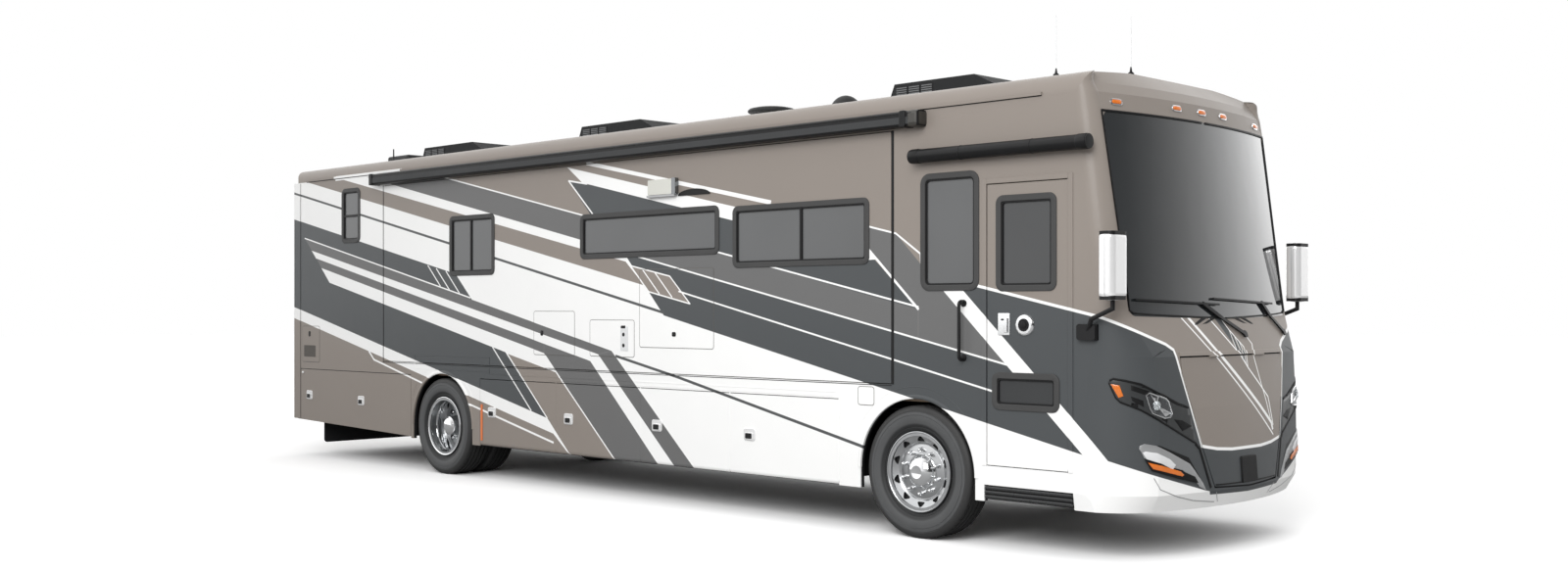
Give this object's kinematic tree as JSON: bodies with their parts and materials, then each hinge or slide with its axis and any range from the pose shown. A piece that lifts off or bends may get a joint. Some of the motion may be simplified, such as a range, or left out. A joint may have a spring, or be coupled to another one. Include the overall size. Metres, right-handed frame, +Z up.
{
  "type": "class a motorhome",
  "caption": "Motorhome coach with a hollow cabin, slide-out rooms, hinged entry and locker doors, a lifting hood and engine lid, steered front wheels and twin rear wheels.",
  "frame": {"origin": "on the ground, under the middle of the whole vehicle", "axes": "+X forward, +Y to the driver's side (left), +Z up"},
  "size_m": [11.75, 2.92, 3.9703],
  "materials": {
    "coach_paint": "gloss",
    "roof_white": "satin",
    "tinted_glass": "gloss",
    "tyre_rubber": "matte",
    "polished_aluminium": "polished",
    "chassis_steel": "satin",
    "black_plastic": "satin",
    "mirror_chrome": "gloss",
    "lamp_lens": "gloss",
    "locker_liner": "matte",
    "cab_trim": "matte",
    "seat_cover": "satin",
    "floor_board": "matte"
  },
  "bodies": {
    "coach": {"air_conditioners": "black_plastic", "awnings": "black_plastic", "cab_seats": "seat_cover", "chassis_frame": "chassis_steel", "dashboard": "cab_trim", "engine": "chassis_steel", "entry_step": "black_plastic", "floor_deck": "floor_board", "front_axle": "chassis_steel", "front_cap": "coach_paint", "front_lamps": "lamp_lens", "fuel_tank": "chassis_steel", "grab_handle": "black_plastic", "hitch": "chassis_steel", "left_wall": "coach_paint", "lockers": "locker_liner", "mirrors": "mirror_chrome", "mud_flap": "black_plastic", "rear_axle": "chassis_steel", "rear_cap": "coach_paint", "rear_lamps": "lamp_lens", "right_wall": "coach_paint", "roof_aerials": "black_plastic", "roof_shell": "roof_white", "side_glass": "tinted_glass", "steering_wheel": "cab_trim", "step_well": "black_plastic", "wheel_wells": "black_plastic", "windshield": "tinted_glass", "wipers": "black_plastic"},
    "right_knuckle": {"right_knuckle": "chassis_steel"},
    "front_right_wheel": {"front_right_tyre": "tyre_rubber", "front_right_rim": "polished_aluminium"},
    "rear_right_wheels": {"rear_right_tyres": "tyre_rubber", "rear_right_rims": "polished_aluminium"},
    "left_knuckle": {"left_knuckle": "chassis_steel"},
    "front_left_wheel": {"front_left_tyre": "tyre_rubber", "front_left_rim": "polished_aluminium"},
    "rear_left_wheels": {"rear_left_tyres": "tyre_rubber", "rear_left_rims": "polished_aluminium"},
    "entry_door": {"entry_door": "coach_paint", "entry_door_glass": "tinted_glass"},
    "right_slide_room": {"right_slide_room": "coach_paint", "right_slide_glass": "tinted_glass"},
    "right_bay_door_1": {"right_bay_door_1": "coach_paint"},
    "right_bay_door_2": {"right_bay_door_2": "coach_paint"},
    "right_bay_door_3": {"right_bay_door_3": "coach_paint"},
    "right_bay_door_4": {"right_bay_door_4": "coach_paint"},
    "right_engine_side_door": {"right_engine_side_door": "coach_paint"},
    "left_slide_room": {"left_slide_room": "coach_paint", "left_slide_glass": "tinted_glass"},
    "left_bay_door_1": {"left_bay_door_1": "coach_paint"},
    "left_bay_door_2": {"left_bay_door_2": "coach_paint"},
    "left_bay_door_3": {"left_bay_door_3": "coach_paint"},
    "left_bay_door_4": {"left_bay_door_4": "coach_paint"},
    "left_engine_side_door": {"left_engine_side_door": "coach_paint"},
    "hood": {"hood": "coach_paint"},
    "engine_lid": {"engine_lid": "coach_paint"}
  },
  "joints": [
    {"name": "steer_left", "type": "hinge", "parent": "coach", "child": "left_knuckle", "pos_m": [3.813, 0.93, 0.506], "axis": [0, 0, 1], "range_deg": [-42, 42]},
    {"name": "steer_right", "type": "hinge", "parent": "coach", "child": "right_knuckle", "pos_m": [3.813, -0.93, 0.506], "axis": [0, 0, 1], "range_deg": [-42, 42]},
    {"name": "spin_front_right", "type": "hinge", "parent": "right_knuckle", "child": "front_right_wheel", "pos_m": [3.813, -1.137, 0.506], "axis": [0, 1, 0], "continuous": true},
    {"name": "spin_rear_right", "type": "hinge", "parent": "coach", "child": "rear_right_wheels", "pos_m": [-2.639, -1.137, 0.506], "axis": [0, 1, 0], "continuous": true},
    {"name": "spin_front_left", "type": "hinge", "parent": "left_knuckle", "child": "front_left_wheel", "pos_m": [3.813, 1.137, 0.506], "axis": [0, 1, 0], "continuous": true},
    {"name": "spin_rear_left", "type": "hinge", "parent": "coach", "child": "rear_left_wheels", "pos_m": [-2.639, 1.137, 0.506], "axis": [0, 1, 0], "continuous": true},
    {"name": "open_entry_door", "type": "hinge", "parent": "coach", "child": "entry_door", "pos_m": [5.172, -1.2775, 1.629], "axis": [0, 0, 1], "range_deg": [0, 90]},
    {"name": "slide_out_right", "type": "slide", "parent": "coach", "child": "right_slide_room", "axis": [0, -1, 0], "range_m": [0, 0.7]},
    {"name": "open_right_bay_door_1", "type": "hinge", "parent": "coach", "child": "right_bay_door_1", "pos_m": [-0.67, -1.2775, 0.686], "axis": [0, 0, 1], "range_deg": [0, 90]},
    {"name": "open_right_bay_door_2", "type": "hinge", "parent": "coach", "child": "right_bay_door_2", "pos_m": [0.588, -1.2775, 0.686], "axis": [0, 0, 1], "range_deg": [0, 90]},
    {"name": "open_right_bay_door_3", "type": "hinge", "parent": "coach", "child": "right_bay_door_3", "pos_m": [1.764, -1.2775, 0.686], "axis": [0, 0, 1], "range_deg": [0, 90]},
    {"name": "open_right_bay_door_4", "type": "hinge", "parent": "coach", "child": "right_bay_door_4", "pos_m": [3.021, -1.2775, 0.686], "axis": [0, 0, 1], "range_deg": [0, 90]},
    {"name": "open_right_engine_side_door", "type": "hinge", "parent": "coach", "child": "right_engine_side_door", "pos_m": [-4.487, -1.2775, 1.026], "axis": [-1, 0, 0], "range_deg": [0, 85]},
    {"name": "slide_out_left", "type": "slide", "parent": "coach", "child": "left_slide_room", "axis": [0, 1, 0], "range_m": [0, 0.7]},
    {"name": "open_left_bay_door_1", "type": "hinge", "parent": "coach", "child": "left_bay_door_1", "pos_m": [-0.67, 1.2775, 0.686], "axis": [0, 0, -1], "range_deg": [0, 90]},
    {"name": "open_left_bay_door_2", "type": "hinge", "parent": "coach", "child": "left_bay_door_2", "pos_m": [0.588, 1.2775, 0.686], "axis": [0, 0, -1], "range_deg": [0, 90]},
    {"name": "open_left_bay_door_3", "type": "hinge", "parent": "coach", "child": "left_bay_door_3", "pos_m": [1.764, 1.2775, 0.686], "axis": [0, 0, -1], "range_deg": [0, 90]},
    {"name": "open_left_bay_door_4", "type": "hinge", "parent": "coach", "child": "left_bay_door_4", "pos_m": [3.021, 1.2775, 0.686], "axis": [0, 0, -1], "range_deg": [0, 90]},
    {"name": "open_left_engine_side_door", "type": "hinge", "parent": "coach", "child": "left_engine_side_door", "pos_m": [-4.487, 1.2775, 1.026], "axis": [1, 0, 0], "range_deg": [0, 85]},
    {"name": "open_hood", "type": "hinge", "parent": "coach", "child": "hood", "pos_m": [5.778, 0, 1.409], "axis": [0, -1, 0], "range_deg": [0, 65]},
    {"name": "open_engine_lid", "type": "hinge", "parent": "coach", "child": "engine_lid", "pos_m": [-5.868, 0, 1.473], "axis": [0, 1, 0], "range_deg": [0, 80]}
  ],
  "couplings": [
    {"joint": "steer_right", "follows": "steer_left", "ratio": 1}
  ]
}
